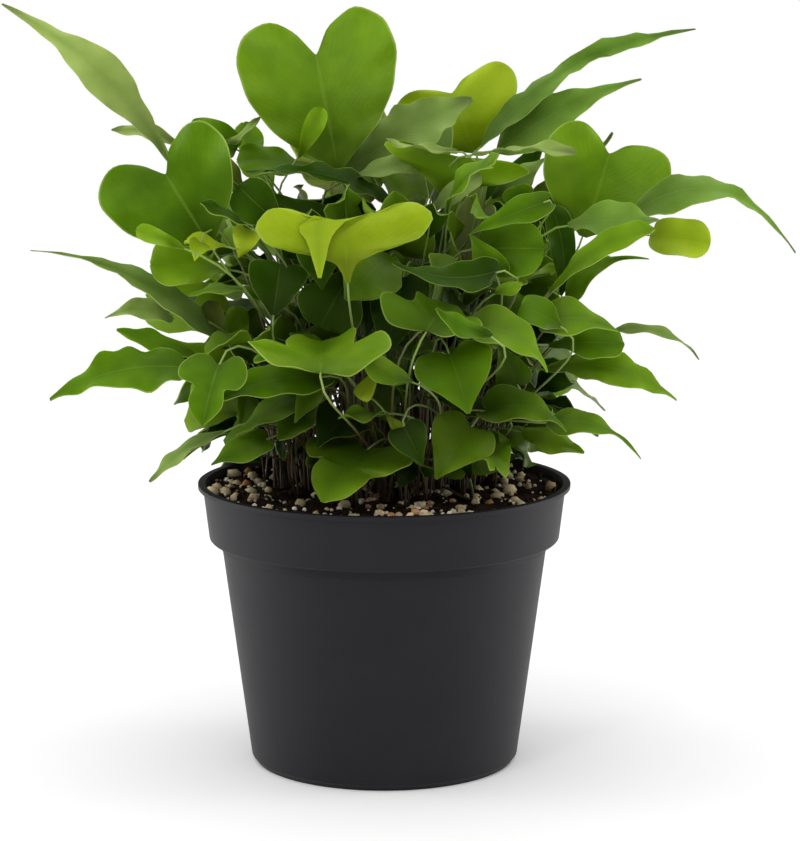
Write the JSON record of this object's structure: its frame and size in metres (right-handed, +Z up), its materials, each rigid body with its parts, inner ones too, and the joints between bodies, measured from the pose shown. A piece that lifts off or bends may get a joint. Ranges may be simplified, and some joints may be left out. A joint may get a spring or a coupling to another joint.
{
  "type": "potted fern",
  "caption": "Small potted fern with heart-shaped, lobed and long waved blades on thin stipes, in a tapered round nursery pot with a deep collar.",
  "frame": {"origin": "centre of the pot's flat base, where it stands", "axes": "+Z up along the pot's axis, front of the plant (as pictured) towards -Y, +X to its right as seen"},
  "size_m": [0.2676, 0.1711, 0.2623],
  "materials": {
    "pot_plastic": "matte",
    "potting_mix": "granular, matte",
    "fern_fronds": "leaf, satin"
  },
  "bodies": {
    "root": {"fronds_centre_curl": "fern_fronds", "fronds_centre_deep": "fern_fronds", "fronds_centre_hidden": "fern_fronds", "fronds_centre_left": "fern_fronds", "fronds_centre_lobed": "fern_fronds", "fronds_centre_right": "fern_fronds", "fronds_centre_tongue": "fern_fronds", "fronds_left_back": "fern_fronds", "fronds_left_drip": "fern_fronds", "fronds_left_hanging": "fern_fronds", "fronds_left_heart": "fern_fronds", "fronds_left_inner": "fern_fronds", "fronds_left_long": "fern_fronds", "fronds_left_pair": "fern_fronds", "fronds_left_round": "fern_fronds", "fronds_left_shaded": "fern_fronds", "fronds_left_young": "fern_fronds", "fronds_low_centre_left": "fern_fronds", "fronds_low_left": "fern_fronds", "fronds_low_right": "fern_fronds", "fronds_right_centre": "fern_fronds", "fronds_right_curled": "fern_fronds", "fronds_right_disc": "fern_fronds", "fronds_right_drips": "fern_fronds", "fronds_right_drooping": "fern_fronds", "fronds_right_fold": "fern_fronds", "fronds_right_heart": "fern_fronds", "fronds_right_inner": "fern_fronds", "fronds_right_level": "fern_fronds", "fronds_right_long": "fern_fronds", "fronds_right_low": "fern_fronds", "fronds_right_middle": "fern_fronds", "fronds_right_round": "fern_fronds", "fronds_right_shaded": "fern_fronds", "fronds_right_spoons": "fern_fronds", "fronds_ring_1": "fern_fronds", "fronds_ring_2": "fern_fronds", "fronds_ring_3": "fern_fronds", "fronds_ring_4": "fern_fronds", "fronds_ring_5": "fern_fronds", "fronds_ring_6": "fern_fronds", "fronds_ring_7": "fern_fronds", "fronds_ring_8": "fern_fronds", "fronds_top_fan": "fern_fronds", "fronds_top_grey": "fern_fronds", "fronds_top_heart": "fern_fronds", "fronds_top_yellow": "fern_fronds", "fronds_upper_curled": "fern_fronds", "fronds_upper_folded": "fern_fronds", "fronds_upper_left_lance": "fern_fronds", "fronds_upper_right_broad": "fern_fronds", "fronds_upper_right_lance": "fern_fronds", "fronds_upper_shaded": "fern_fronds", "pot": "pot_plastic", "potting_mix": "potting_mix"}
  },
  "joints": []
}
